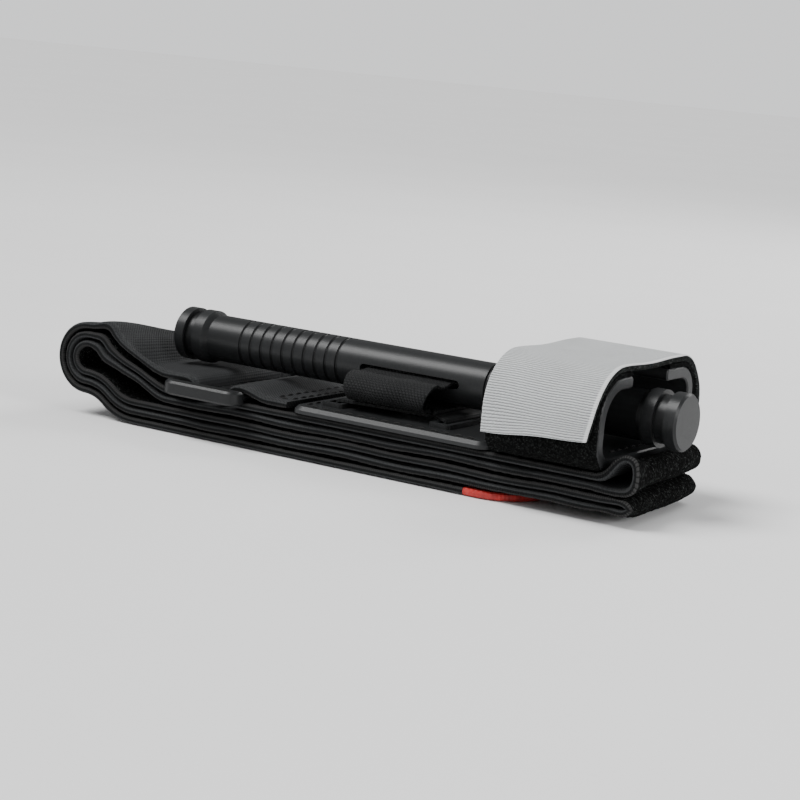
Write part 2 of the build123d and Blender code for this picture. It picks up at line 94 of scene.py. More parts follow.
# ---- the folds, as in the CAD ----
# The left fold has its centre at FOLD_X. Its plies rise to it out of a hollow beside the rod's end,
# FOLD_RISE further right, and fall from it in a sweep of two arcs. A fold at the right end is given by its
# centre. The buckle's bars and the lap where the band's end is sewn down are given by both their ends.
# Left of LEVEL_X the plies begin to sink to the hollow.
FOLD_X = -80.0
FOLD_Z = (FOLD_LOW.z + FOLD_HIGH.z) / 2
FOLD_R = (FOLD_HIGH.z - FOLD_LOW.z - PLY) / 2
FOLD_RISE = 13.5
FOLD_FALL_R = (8.0, 14.0)
UNDER_ROD_Z = 12.7
END_FOLD_R = 2.4
UPPER_FOLD = (61.5, 12.75 - END_FOLD_R)
LOWER_FOLD = (61.0, TAIL_Z + END_FOLD_R)
FOLD_RUN_OUT = 6.0
LOOP_R = 1.85
BUCKLE_Z = LAYER_1 + LOOP_R
OVER_BAR_Z = BUCKLE_Z + LOOP_R
FIXED_BAR = (-37.0, -35.0)
TOOTHED_BAR = (-53.6, -50.2)
LAP_X = (-22.6, -28.5)
LAP_Z = LAYER_1 + PITCH
LEVEL_X = -57.0
TAIL_JOINT_X = 2.0

# ---- the closing strap and the hook tape, as gaps from the clip ----
REAR_TOP_R = 6.0
FRONT_TOP_R = 9.5
REAR_FOOT_R = 4.5
FRONT_FOOT_R = 6.0
FOOT_WRAP = 52
HOOK_T = 1.1
LINING_T = 1.1
FACE_T = 0.35
SKIN_GAP = 0.05
STRAP_WIDTH = CLIP_HIGH.x - CLIP_LOW.x
STRAP_X = (CLIP_HIGH.x + CLIP_LOW.x) / 2
HOOK_FOOT_Z = 12.6
STRAP_END_Z = 16.4

# ---- how the soft bundle gives ----
# A pair with an axis in its name gives where a change starts and where it is complete. A wave is a height
# and a length. OPENED and PRESSED are the rise of a fold's lowest layer and what the rise gains above it.
ROD_END_X = (-66, -71)
FREE_EDGE_Y = (13, 18.5)
PLY_LIFT = 3.4
TAIL_LIFT = 1.2
TAIL_REAR_LIFT = 0.3
TAIL_REAR_Y = (2, 16)
LIFT_RIGHT_X = (-56, -70)
LIFT_LEFT_X = (-80, -71)
FLATTER_X = (-63, -75)
FLATTER = 0.14
FOLD_BOTTOM_X = (-66, -79)
FOLD_BOTTOM = 4.9
FOLD_SINKS = 0.9
FOLD_SKEW_X = (-76, -84)
FOLD_SKEW = 0.7
RIGHT_FOLDS_X = (53, 61)
FRONT_Y = (-10, -19)
UPPER_FOLD_Z = (SPLIT_Z - 0.25, SPLIT_Z + 0.25)
RIGHT_SKEW = 3.2
RIGHT_WAVE = (0.3, 5.0)
OPENED = (-0.7, 2.7)
OPENED_Z = (8.2, 12.2)
REAR_SINKS = 0.25
PRESSED = (2.0, -2.3)
PRESSED_Z = (1.8, 5.0)
PRESSED_AT_REAR = 0.35

# ---- how the hidden plies wave, as height, length and change of phase per millimetre of height ----
FREE_PLIES_X = ((-54, -44), (52, 44))
PLY_WAVES = ((0.12, 4.3, 3), (0.10, 9.1, 5))

# ---- how the closing strap gives ----
# SKEW_UP is the rise of the free end at its left corner, and what the rise gains up to the right corner.
REAR_BULGE = 1.6
MOUTH_HALF = 11.5
MOUTH_SINKS = 0.35
FREE_END_DEPTH = 5
SKEW_UP = (-0.9, 2.0)
EDGE_WAVE = (0.15, 3.1)
SKEW_ALONG = 1.5
CORNER_PRESSED = 0.35
CORNER_GROWTH = 1.4


# ======== Paths ========
def smooth_step(value):
    """A soft change from 0 to 1 while the value goes from 0 to 1."""
    value = np.clip(value, 0, 1)
    return value * value * (3 - 2 * value)


def ease(value, start, end):
    """0 up to start, 1 from end on, and a soft change between the two. The end may lie below the start."""
    return smooth_step((value - start) / (end - start))


def line(start, end):
    """Points of a straight line."""
    count = max(2, int(math.dist(start, end) / STEP) + 1)
    return np.linspace(start, end, count)


def arc(centre, radius, first_angle, sweep_angle):
    """Points of an arc, with its angles in degrees."""
    count = max(4, int(abs(radius * math.radians(sweep_angle)) / STEP) + 2)
    angles = np.radians(np.linspace(first_angle, first_angle + sweep_angle, count))
    return np.column_stack((centre[0] + radius * np.cos(angles), centre[1] + radius * np.sin(angles)))


def jog(start, end):
    """A level line that shifts in height on its way, level again at its end."""
    share = np.linspace(0, 1, max(4, int(math.dist(start, end) / STEP) + 2))
    x = start[0] + (end[0] - start[0]) * share
    z = start[1] + (end[1] - start[1]) * smooth_step(share)
    return np.column_stack((x, z))


def run_lengths(points):
    """How far along a path each of its points is."""
    return np.concatenate(([0], np.cumsum(np.hypot(*np.diff(points, axis=0).T))))


def whole_length(points):
    """The length of a path."""
    return run_lengths(points)[-1]


def join(*parts, step=STEP, soften=3):
    """One path through all the parts, with even steps and softened bends. Its ends stay in place."""
    points = np.vstack(parts)
    keep = np.concatenate(([True], np.hypot(*np.diff(points, axis=0).T) > 1e-6))
    points = points[keep]
    for _ in range(2):
        lengths = run_lengths(points)
        even = np.linspace(0, lengths[-1], max(4, int(round(lengths[-1] / step)) + 1))
        points = np.column_stack([np.interp(even, lengths, points[:, k]) for k in (0, 1)])
        for _ in range(soften):
            points[2:-2] = (points[1:-3] + 2 * points[2:-2] + points[3:-1]) / 4
    return points


def rise_to_fold(depth, level_x, level_z):
    """From a level layer heading left, up a hollow beside the rod's end, to the crest of the left fold."""
    height = UNDER_ROD_Z - FOLD_Z
    hollow_r = (FOLD_RISE**2 + height**2 - FOLD_R**2) / (2 * (FOLD_R - height))
    steep = math.degrees(math.atan2(FOLD_RISE, hollow_r + height))
    hollow_x = FOLD_X + FOLD_RISE
    hollow_z = UNDER_ROD_Z - depth
    return np.vstack(
        (
            jog((level_x, level_z), (hollow_x, hollow_z)),
            arc((hollow_x, UNDER_ROD_Z + hollow_r), hollow_r + depth, 270, -steep),
            arc((FOLD_X, FOLD_Z), FOLD_R - depth, 90 - steep, steep),
        )
    )


def fall_from_fold(depth, end_x):
    """From the bottom of the left fold, down a sweep, to a level layer heading right."""
    bottom_z = FOLD_Z - FOLD_R
    over_r, under_r = FOLD_FALL_R
    steep = math.acos(1 - (bottom_z - TAIL_Z) / (over_r + under_r))
    level_x = FOLD_X + (over_r + under_r) * math.sin(steep)
    steep = math.degrees(steep)
    return np.vstack(
        (
            arc((FOLD_X, bottom_z - over_r), over_r + depth, 90, -steep),
            arc((level_x, TAIL_Z + under_r), under_r - depth, 270 - steep, steep),
            line((level_x, TAIL_Z + depth), (end_x, TAIL_Z + depth)),
        )
    )


def end_fold(start_x, start_z, centre, back_z):
    """From a level layer heading right, round a fold at the right end, to a level layer heading left."""
    x, z = centre
    return np.vstack(
        (
            line((start_x, start_z), (x - FOLD_RUN_OUT, start_z)),
            jog((x - FOLD_RUN_OUT, start_z), (x, z + END_FOLD_R)),
            arc(centre, END_FOLD_R, 90, -180),
            jog((x, z - END_FOLD_R), (x - FOLD_RUN_OUT, back_z)),
        )
    )


# ======== Sheets ========
UPPER_INNER = rise_to_fold(2 * PITCH, LEVEL_X, LAYER_2)
LOWER_INNER = fall_from_fold(2 * PITCH, -40.0)


def above_hollow(x, z):
    """1 on the plies of the upper half beside the left fold, 0 on those of the lower half."""
    order = np.argsort(UPPER_INNER[:, 0])
    upper_z = np.interp(x, UPPER_INNER[order, 0], UPPER_INNER[order, 1])
    lower_z = np.interp(x, LOWER_INNER[:, 0], LOWER_INNER[:, 1])
    return z > (upper_z + lower_z) / 2


def relax(points, extra=0.0):
    """How the soft bundle gives at its two ends. At the left the fold is flatter at the rear, and the plies
    stand up beside the rod's end, which presses their middle down. At the right the two folds stand out
    further at the front, where the upper one is open and the lower one is pressed flat. extra lifts the
    outermost ply more."""
    x, y, z = points.T.copy()
    rear = (y + BAND_WIDTH / 2) / BAND_WIDTH
    beyond_rod = ease(x, *ROD_END_X)
    curl = ease(np.abs(y), *FREE_EDGE_Y)
    height = PLY_LIFT + extra * (TAIL_LIFT + TAIL_REAR_LIFT * ease(y, *TAIL_REAR_Y))
    lift = height * (beyond_rod + (1 - beyond_rod) * curl) * above_hollow(x, z)
    lift = lift * ease(x, *LIFT_LEFT_X) * ease(x, *LIFT_RIGHT_X)
    left = ease(x, *FLATTER_X) * smooth_step(rear)
    bottom = FOLD_BOTTOM * ease(x, *FOLD_BOTTOM_X)
    z = (z - bottom) * (1 - FLATTER * left) + bottom * (1 - FOLD_SINKS * left) + lift
    x = x - FOLD_SKEW * ease(x, *FOLD_SKEW_X) * (1 - rear)

    right = ease(x, *RIGHT_FOLDS_X)
    front = ease(y, *FRONT_Y)
    upper = ease(z, *UPPER_FOLD_Z)
    x = x - right * (RIGHT_SKEW * rear - RIGHT_WAVE[0] * np.sin(y / RIGHT_WAVE[1]))
    opened = OPENED[0] + OPENED[1] * ease(z, *OPENED_Z)
    pressed = PRESSED[0] + PRESSED[1] * ease(z, *PRESSED_Z)
    upper_rise = opened * front - REAR_SINKS * rear
    lower_rise = pressed * (PRESSED_AT_REAR + (1 - PRESSED_AT_REAR) * front)
    z = z + right * (upper * upper_rise + (1 - upper) * lower_rise)
    return np.column_stack((x, y, z))


def relax_tail(points):
    """The tail stands further off the ply below it, most at the rear."""
    return relax(points, extra=1.0)


def ripple(points, amount, size):
    """Smooth random heights at points, the same on every run."""
    scale = 1.0 / size
    return amount * np.array([noise.noise(Vector(p) * scale) for p in points])


def put(name, data):
    """A new object in the scene."""
    made = bpy.data.objects.new(name, data)
    bpy.context.scene.collection.objects.link(made)
    return made


# Edges sharper than this are shaded as edges, which keeps a dark line away from where two sheets meet.
SHARP_ANGLE = math.radians(75)


def make_mesh(name, vertices, faces, uv=None, material_index=None, materials=(), smooth=True):
    """A mesh object from vertices in millimetres."""
    mesh = bpy.data.meshes.new(name)
    mesh.from_pydata((np.asarray(vertices, float) * MM).tolist(), [], faces)
    if uv is not None:
        layer = mesh.uv_layers.new(name="flat")
        loop_vertex = np.zeros(len(mesh.loops), np.int32)
        mesh.loops.foreach_get("vertex_index", loop_vertex)
        layer.data.foreach_set("uv", (np.asarray(uv)[loop_vertex] * MM).astype(np.float32).ravel())
    for item in materials:
        mesh.materials.append(item)
    if material_index is not None:
        mesh.polygons.foreach_set("material_index", np.asarray(material_index, np.int32))
    mesh.polygons.foreach_set("use_smooth", [smooth] * len(mesh.polygons))
    mesh.update()
    work = bmesh.new()
    work.from_mesh(mesh)
    bmesh.ops.recalc_face_normals(work, faces=work.faces)
    work.to_mesh(mesh)
    work.free()
    if smooth:
        mesh.set_sharp_from_angle(angle=SHARP_ANGLE)
    return put(name, mesh)


# How far from a cut edge the first points lie, how thick the sheet still is there as a share of its
# thickness, how far its rounding reaches in as another share, and where the lint begins.
NEAR_EDGE = np.array([0.0, 0.12, 0.3, 0.6, 1.1])
EDGE_T = 0.35
EDGE_REACH = 0.45
LINT_INSET = 0.2


def columns(width, step):
    """Offsets across a strap, closer together near its two edges, where the cut edge is rounded."""
    half = width / 2
    inner = np.arange(-half + NEAR_EDGE[-1] + step, half - NEAR_EDGE[-1] - step / 2, step)
    return np.concatenate((-half + NEAR_EDGE, inner, (half - NEAR_EDGE)[::-1]))


def rounded(offsets, width, thickness):
    """Half the thickness across a strap, which thins to its two cut edges as a quarter round."""
    edge = np.clip((width / 2 - np.abs(offsets)) / (thickness * EDGE_REACH), 0, 1)
    return thickness / 2 * (EDGE_T + (1 - EDGE_T) * np.sqrt(1 - (1 - edge) ** 2))


def frayed(offsets, width, length, face, amount, size):
    """How far the places across a strap stray, which is only felt close to its two cut edges."""
    beside = np.column_stack((length, np.full(len(length), 9.0 * face), np.zeros(len(length))))
    one, other = (ripple(beside + (0, 0, 40.0 * end), amount, size)[:, None] for end in (0, 1))
    return np.where(offsets > 0, one, other) * (2 * np.abs(offsets) / width) ** 12


def lint(points, amount, size):
    """Coarse and fine heights of the lint on a face."""
    return (ripple(points, amount, size) + ripple(points, amount * 0.6, size / 2.3))[:, None]


def grid_faces(rows, count, first, flip=False):
    """Quads of a grid of rows by count vertices, whose first vertex has this index."""
    index = first + np.arange(rows * count).reshape(rows, count)
    quads = np.stack((index[:-1, :-1], index[1:, :-1], index[1:, 1:], index[:-1, 1:]), axis=-1)
    return quads.reshape(-1, 4)[:, ::-1] if flip else quads.reshape(-1, 4)


def wall(first, far, flip):
    """Quads between a row of vertices on one face of a closed sheet and the same row on its other face."""
    quads = np.column_stack((first[:-1], first[:-1] + far, first[1:] + far, first[1:]))
    return quads[:, ::-1] if flip else quads


def wall_rows(rows, count):
    """The two long and the two short rows round a grid, each with whether its wall is flipped."""
    along, row = np.arange(rows) * count, np.arange(count)
    return ((along, False), (along + count - 1, True), (row, True), (row + (rows - 1) * count, False))


def closed_faces(rows, count):
    """Faces of a closed sheet, and for each 0 on the left face, 1 on the right face, 2 on the cut edge."""
    far = rows * count
    left = grid_faces(rows, count, 0)
    right = grid_faces(rows, count, far, flip=True)
    edges = np.vstack([wall(first, far, flip) for first, flip in wall_rows(rows, count)])
    slots = np.repeat((0, 1, 2), (len(left), len(right), len(edges)))
    return np.vstack((left, right, edges)).tolist(), slots


def turned_to(across, along, width, height):
    """Points or directions from a side profile and its width, for a band along X or a strap along Y."""
    order = (along, width, height) if across == "y" else (width, along, height)
    return np.stack(order, axis=-1)


def sheet(name, path, width, thickness, materials, across="y", middle=0.0, start=0.0, fuzz=(0.05, 0.02),
          grain=1.0, step_across=0.6, shape=None, ragged=0.0):
    """A closed sheet along a path. materials are those of its left face, right face and cut edge. fuzz is
    the height of the lint on the two faces, grain its size, and ragged how far the two cut edges stray."""
    tangent = np.gradient(path, axis=0)
    tangent /= np.linalg.norm(tangent, axis=1)[:, None]
    left_way = np.column_stack((-tangent[:, 1], tangent[:, 0]))
    length = start + run_lengths(path)
    offsets = columns(width, step_across)
    half = rounded(offsets, width, thickness)
    rows, count = len(path), len(offsets)
    outward = np.repeat(left_way, count, axis=0)
    outward = turned_to(across, outward[:, 0], np.zeros(len(outward)), outward[:, 1])
    inside = np.tile((width / 2 - np.abs(offsets)) > LINT_INSET, rows)[:, None]
    sides = []
    for face, amount in zip((1, -1), fuzz):
        flat = path[:, None, :] + face * left_way[:, None, :] * half[None, :, None]
        spread = np.broadcast_to(offsets + middle, (rows, count))
        if ragged:
            spread = spread + frayed(offsets, width, length, face, ragged, grain * 0.8)
        points = turned_to(across, flat[..., 0], spread, flat[..., 1]).reshape(-1, 3)
        if shape is not None:
            points = shape(points)
        if amount:
            points = points + face * outward * lint(points, amount, grain) * inside
        sides.append(points)
    faces, slots = closed_faces(rows, count)
    u = np.repeat(length, count)
    v = np.tile(offsets, rows)
    uv = np.vstack((np.column_stack((u, v)), np.column_stack((u, v + thickness))))
    return make_mesh(name, np.vstack(sides), faces, uv, slots, materials)


# ======== Materials ========
class Shader:
    """A Principled material put together from small steps. Texture coordinates are in millimetres."""

    def __init__(self, name, flat=True):
        self.material = bpy.data.materials.new(name)
        self.material.use_nodes = True
        self.tree = self.material.node_tree
        self.surface = self.tree.nodes["Principled BSDF"]
        source = self.node("ShaderNodeTexCoord").outputs["UV" if flat else "Object"]
        self.place = self.node("ShaderNodeVectorMath", {0: source, 3: 1 / MM}, operation="SCALE").outputs[0]
        split = self.node("ShaderNodeSeparateXYZ", {0: self.place})
        self.u, self.v, self.w = split.outputs

    def node(self, kind, inputs=None, **settings):
        """A new node with these inputs, each a value or the output of another node."""
        made = self.tree.nodes.new(kind)
        for key, value in settings.items():
            setattr(made, key, value)
        for key, value in (inputs or {}).items():
            self.feed(made.inputs[key], value)
        return made

    def feed(self, socket, value):
        if isinstance(value, bpy.types.NodeSocket):
            self.tree.links.new(value, socket)
        else:
            socket.default_value = value

    def math(self, operation, first, second=0.0, clamp=False):
        made = self.node("ShaderNodeMath", {0: first, 1: second}, operation=operation, use_clamp=clamp)
        return made.outputs[0]

    def times(self, first, second):
        return self.math("MULTIPLY", first, second)

    def plus(self, first, second):
        return self.math("ADD", first, second)

    def ridges(self, value, size):
        """Round ridges from 0 to 1, one for every size of a value."""
        return self.math("ABSOLUTE", self.math("SINE", self.times(value, math.pi / size)))

    def stretch(self, along, across):
        inputs = {0: self.place, 1: (along, across, 1.0)}
        return self.node("ShaderNodeVectorMath", inputs, operation="MULTIPLY").outputs[0]

    def noise(self, scale, detail=3.0, rough=0.6, where=None):
        inputs = {"Vector": where or self.place, "Scale": scale, "Detail": detail, "Roughness": rough}
        return self.node("ShaderNodeTexNoise", inputs).outputs["Fac"]

    def cells(self, scale, output="Distance", where=None):
        inputs = {"Vector": where or self.place, "Scale": scale}
        return self.node("ShaderNodeTexVoronoi", inputs).outputs[output]

    def ramp(self, factor, *stops):
        """Colours between stops, each a position and a colour."""
        made = self.node("ShaderNodeValToRGB", {"Fac": factor})
        points = made.color_ramp.elements
        while len(points) < len(stops):
            points.new(0.5)
        for point, (position, colour) in zip(points, stops):
            point.position = position
            point.color = colour if len(colour) == 4 else (*colour, 1)
        return made.outputs["Color"]

    def grey(self, factor, *stops):
        return self.ramp(factor, *[(position, (value,) * 3) for position, value in stops])

    def mix(self, factor, first, second, blend="MIX"):
        inputs = {"Fac": factor, "Color1": first, "Color2": second}
        return self.node("ShaderNodeMixRGB", inputs, blend_type=blend).outputs[0]

    def shaded(self, colour, amount, factor, *stops):
        """A colour multiplied by greys between stops, as far as amount says."""
        return self.mix(amount, colour, self.grey(factor, *stops), "MULTIPLY")

    def bump(self, height, distance):
        inputs = {"Height": height, "Distance": distance * MM, "Strength": 1.0}
        return self.node("ShaderNodeBump", inputs).outputs["Normal"]

    def finish(self, colour, roughness, normal, sheen=0.0, specular=0.5):
        for name, value in {
            "Base Color": colour,
            "Roughness": roughness,
            "Normal": normal,
            "Sheen Weight": sheen,
            "Sheen Roughness": 0.5,
            "Specular IOR Level": specular,
        }.items():
            self.feed(self.surface.inputs[name], value)
        return self.material


def rgb(value, tint=(1.0, 1.0, 1.0)):
    """A grey of this value, tinted."""
    return tuple(value * t for t in tint)


COOL = (0.95, 1.0, 1.04)
GREENISH = (0.93, 1.0, 0.97)
PALE_COOL = (0.97, 1.0, 1.01)

# How wide the threads and other details in the materials are.
MARGIN = 0.75
MARGIN_THREAD = 0.5
SEAM_STITCH = 2.6
SEAM_HALF = 0.55
RIB = 0.55
TWILL = 0.62
STRAND = 0.45
TAB_WEAVE = 0.6


def pile_material(name, dark, light, flecks, loop, half_width=None):
    """Fuzzy hook-and-loop pile: dark gaps, dull loops and scattered bright fibres. loop is the size of a
    loop. With a half width given, the narrow margin beside each edge is plain weave."""
    s = Shader(name)
    drift = s.node("ShaderNodeTexNoise", {"Vector": s.place, "Scale": 1.6, "Detail": 2.0}).outputs["Color"]
    where = s.node("ShaderNodeVectorMath", {0: s.place, 1: drift}, operation="ADD").outputs[0]
    loops = s.cells(1 / loop, where=where)
    tone = s.cells(1 / loop, "Color", where=where)
    fibre = s.noise(4.2, 5.0, 0.75, where=where)
    patch = s.noise(0.16, 2.0)
    crest, slope, gap = (rgb(value, GREENISH) for value in (light, (light + dark) / 3, dark))
    base = s.ramp(loops, (0.05, crest), (0.45, slope), (0.7, gap))
    dot = s.grey(loops, (0.12, 1.0), (0.46, 0.0))
    lit = s.times(dot, s.grey(tone, (0.25, 0.05), (0.85, 1.0)))
    lit = s.times(lit, s.grey(fibre, (0.3, 0.35), (0.6, 1.0)))
    colour = s.mix(1.0, base, s.ramp(lit, (0.0, rgb(0.0)), (1.0, rgb(flecks, GREENISH))), "ADD")
    colour = s.shaded(colour, 0.6, patch, (0.3, 0.5), (0.7, 1.2))
    height = s.plus(s.times(loops, -1.0), s.times(fibre, 1.2))
    if half_width is not None:
        margin = s.math("GREATER_THAN", s.math("ABSOLUTE", s.v), half_width - MARGIN)
        threads = s.ridges(s.u, MARGIN_THREAD)
        weave = s.grey(threads, (0.0, light * 0.8), (0.6, light * 2.6))
        colour = s.mix(margin, colour, weave)
        height = s.mix(margin, height, s.times(threads, 0.5))
    return s.finish(colour, 0.95, s.bump(height, 0.5), sheen=0.01, specular=0.02)


def weave_material(name, value, pitch, depth=0.14, sheen=0.02, seam=None, rough=0.62, shine=0.16):
    """Plain woven nylon: threads over and under, with slubs and lint. pitch is the width of a thread. seam
    is how far from the middle an optional sewn line runs beside each edge."""
    s = Shader(name)
    across_thread = s.math("DIVIDE", s.v, pitch)
    along_thread = s.math("DIVIDE", s.u, pitch * 1.25)
    warp = s.ridges(across_thread, 1)
    weft = s.ridges(along_thread, 1)
    parity = s.plus(s.math("FLOOR", across_thread), s.math("FLOOR", along_thread))
    over = s.math("MODULO", s.math("ABSOLUTE", parity), 2.0)
    thread = s.mix(over, warp, weft)
    slub = s.noise(0.9, 3.0, 0.6, where=s.stretch(0.25, 2.2))
    patch = s.noise(0.09, 3.0)
    specks = s.noise(4.5, 4.0, 0.8)
    gap, slope, crest = (rgb(value * share, COOL) for share in (0.6, 0.95, 1.12))
    colour = s.ramp(thread, (0.0, gap), (0.4, slope), (1.0, crest))
    colour = s.shaded(colour, 0.55, slub, (0.3, 0.62), (0.72, 1.3))
    colour = s.shaded(colour, 0.45, patch, (0.35, 0.7), (0.65, 1.25))
    colour = s.mix(1.0, colour, s.grey(specks, (0.66, 0.0), (0.8, value * 0.7)), "ADD")
    height = s.plus(thread, s.times(slub, 0.7))
    if seam is not None:
        reach = s.math("ABSOLUTE", s.math("SUBTRACT", s.math("ABSOLUTE", s.v), seam))
        groove = s.math("SUBTRACT", 1.0, s.math("DIVIDE", reach, SEAM_HALF), clamp=True)
        along = s.math("SINE", s.times(s.u, 2 * math.pi / SEAM_STITCH))
        dash = s.math("GREATER_THAN", along, -0.55)
        stitch = s.times(groove, dash)
        colour = s.mix(s.times(stitch, 0.6), colour, (*rgb(value * 1.9, COOL), 1))
        height = s.plus(height, s.times(groove, -2.2))
        height = s.plus(height, s.times(stitch, 3.0))
    normal = s.bump(height, depth)
    roughness = s.grey(slub, (0.3, rough - 0.08), (0.7, rough + 0.1))
    return s.finish(colour, roughness, normal, sheen=sheen, specular=shine)


def ribbed_material(name, value):
    """Light grey tape with fine wandering ribs across its length and slanting float threads, a little paler
    along its edges. The grooves between the ribs are painted almost black as painted shade."""
    s = Shader(name)
    drift = s.times(s.noise(0.05, 2.0), 0.9)
    wander = s.times(s.noise(1.1, 3.0, 0.7, where=s.stretch(0.6, 1.6)), 0.30)
    place = s.plus(s.plus(s.u, drift), wander)
    rib = s.ridges(place, RIB)
    twill = s.plus(s.times(s.v, 0.9), s.u)
    float_thread = s.ridges(twill, TWILL)
    rib = s.times(rib, s.plus(s.times(float_thread, 0.35), 0.65))
    yarn = s.noise(2.6, 4.0, 0.7, where=s.stretch(2.4, 0.9))
    patch = s.noise(0.11, 3.0)
    edge = s.math("SUBTRACT", s.math("ABSOLUTE", s.v), STRAP_WIDTH / 2 - 0.6)
    edge = s.math("MULTIPLY", edge, 3.0, clamp=True)
    # The first colour, a sixth of the tape's value, is painted shade in the rib grooves. The crest is the
    # tape's own grey.
    gap, slope, crest = (rgb(value * share, PALE_COOL) for share in (0.16, 0.75, 1.0))
    colour = s.ramp(rib, (0.05, gap), (0.42, slope), (0.9, crest))
    colour = s.shaded(colour, 0.8, yarn, (0.35, 0.72), (0.65, 1.18))
    colour = s.shaded(colour, 0.35, patch, (0.35, 0.85), (0.65, 1.1))
    colour = s.mix(s.times(edge, 0.7), colour, (*rgb(min(0.9, value * 1.3)), 1))
    height = s.plus(rib, s.times(yarn, 0.5))
    normal = s.bump(height, 0.16)
    return s.finish(colour, 0.7, normal, sheen=0.3, specular=0.3)


def moulded_material(name, value, rough=0.42, grain=0.02, shine=0.28):
    """Satin moulded polymer: fine spark-eroded grain, soft flow marks, and paler rubbed edges."""
    s = Shader(name, flat=False)
    fine = s.noise(5.5, 3.0, 0.6)
    flow = s.noise(0.12, 3.0, 0.55, where=s.stretch(0.4, 1.0))
    scuff = s.noise(0.9, 5.0, 0.75, where=s.stretch(3.0, 0.6))
    bend = s.node("ShaderNodeNewGeometry").outputs["Pointiness"]
    corner = s.grey(bend, (0.51, 0.0), (0.56, 1.0))
    rubbed = s.times(corner, s.grey(scuff, (0.35, 0.2), (0.6, 1.0)))
    colour = s.ramp(flow, (0.3, rgb(value * 0.85, COOL)), (0.7, rgb(value * 1.15, COOL)))
    colour = s.shaded(colour, 0.35, fine, (0.35, 0.8), (0.65, 1.2))
    colour = s.mix(s.times(rubbed, 0.6), colour, (*rgb(value * 1.9, COOL), 1))
    scratch = s.grey(scuff, (0.62, 0.0), (0.72, 1.0))
    roughness = s.plus(s.times(fine, 0.16), rough - 0.08)
    roughness = s.plus(roughness, s.times(scratch, 0.08))
    height = s.plus(fine, s.times(scratch, -0.4))
    normal = s.bump(height, grain)
    return s.finish(colour, roughness, normal, specular=shine)


def thread_material(name, value):
    """Bonded sewing thread: two strands twisted together."""
    s = Shader(name, flat=False)
    lean = s.plus(s.plus(s.u, s.v), s.w)
    strand = s.ridges(lean, STRAND)
    fluff = s.noise(6.0, 3.0)
    colour = s.ramp(strand, (0.0, rgb(value * 0.4)), (1.0, rgb(value * 1.2)))
    colour = s.shaded(colour, 0.4, fluff, (0.3, 0.7), (0.7, 1.3))
    return s.finish(colour, 0.6, s.bump(strand, 0.06), sheen=0.02, specular=0.15)


def tab_material(name):
    """Red coated webbing tab, slightly rubbed."""
    s = Shader(name)
    along = s.math("SINE", s.times(s.u, math.pi / TAB_WEAVE))
    cross = s.times(along, s.math("SINE", s.times(s.v, math.pi / TAB_WEAVE)))
    dirt = s.noise(0.35, 5.0, 0.7)
    dark, red, worn = (0.24, 0.012, 0.010), (0.42, 0.018, 0.014), (0.52, 0.05, 0.04)
    colour = s.ramp(dirt, (0.3, dark), (0.55, red), (0.8, worn))
    return s.finish(colour, 0.48, s.bump(cross, 0.05), specular=0.45)


def floor_material():
    """Pale matt board with very slight mottling."""
    s = Shader("studio_floor", flat=False)
    colour = s.grey(s.noise(0.01, 2.0), (0.3, 0.84), (0.7, 0.86))
    return s.finish(colour, 0.75, s.bump(s.noise(0.5), 0.01), specular=0.2)


PILE = pile_material("band_pile", 0.0010, 0.016, 0.100, loop=0.50, half_width=BAND_WIDTH / 2)
SMOOTH = weave_material("band_woven_side", 0.026, 0.42, seam=BAND_WIDTH / 2 - 3.0)
BAND_EDGE = weave_material("band_selvedge", 0.013, 0.5, depth=0.3, sheen=0.01, rough=0.8, shine=0.06)
RIBBON = weave_material("inner_ribbon", 0.010, 0.45, depth=0.12, seam=11.2)
HOOKS = pile_material("hook_tape_pile", 0.004, 0.019, 0.040, loop=0.45)
LINING = pile_material("strap_lining_pile", 0.020, 0.060, 0.110, loop=0.50)
FACE = ribbed_material("strap_grey_tape", 0.60)
FACE_BACK = weave_material("strap_tape_back", 0.05, 0.5)
MOULDED = moulded_material("moulded_polymer_satin", 0.014)
BUCKLE = moulded_material("buckle_polymer", 0.008, rough=0.38)
ROD = moulded_material("rod_polymer", 0.012, rough=0.35, grain=0.012, shine=0.24)
THREAD = thread_material("black_thread", 0.012)
TAB = tab_material("red_tab")
RED_THREAD = thread_material("tab_thread", 0.08)

BAND = (PILE, SMOOTH, BAND_EDGE)


def settle(piece, body=None, stands_for=(), between=None):
    """Hides the CAD nodes a piece stands for and parents the piece to its body. A piece given a pair of
    bodies instead only has its place baked into its mesh.
    """
    if stands_for:
        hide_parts(*stands_for)
    if between is None:
        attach(piece, body)
    else:
        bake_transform(piece)
    return piece


def uneven(path):
    """The hidden plies between the two ends don't lie quite level: each has its own slow waves."""
    x, z = path.T
    left, right = FREE_PLIES_X
    free = ease(x, *left) * ease(x, *right) * (z < LAYER_1 - PITCH / 2)
    waves = sum(height * np.sin(x / length + phase * z) for height, length, phase in PLY_WAVES)
    return np.column_stack((x, z + free * waves))


def band_sheet(name, path, shape=relax, start=0.0):
    """One length of the band: pile on its left face, smooth weave on its right face."""
    return sheet(name, path, BAND_WIDTH, CLOTH_T, BAND, start=start, shape=shape, fuzz=(0.13, 0.02))


# ======== Band and tail, in the order the band runs ========
upper_path = join(
    line((LAP_X[0], LAP_Z), (LAP_X[1], LAP_Z)),
    jog((LAP_X[1], LAP_Z), (FIXED_BAR[1], OVER_BAR_Z)),
    arc((FIXED_BAR[0], BUCKLE_Z), LOOP_R, 90, 180),
    end_fold(FIXED_BAR[0], LAYER_1, UPPER_FOLD, LAYER_2),
    line((UPPER_FOLD[0] - FOLD_RUN_OUT, LAYER_2), (LEVEL_X, LAYER_2)),
    rise_to_fold(2 * PITCH, LEVEL_X, LAYER_2),
)
piece = band_sheet("band_upper_cloth", uneven(upper_path))
settle(piece, "base", ["band_upper", "ribbon_upper", "ribbon_anchor"])

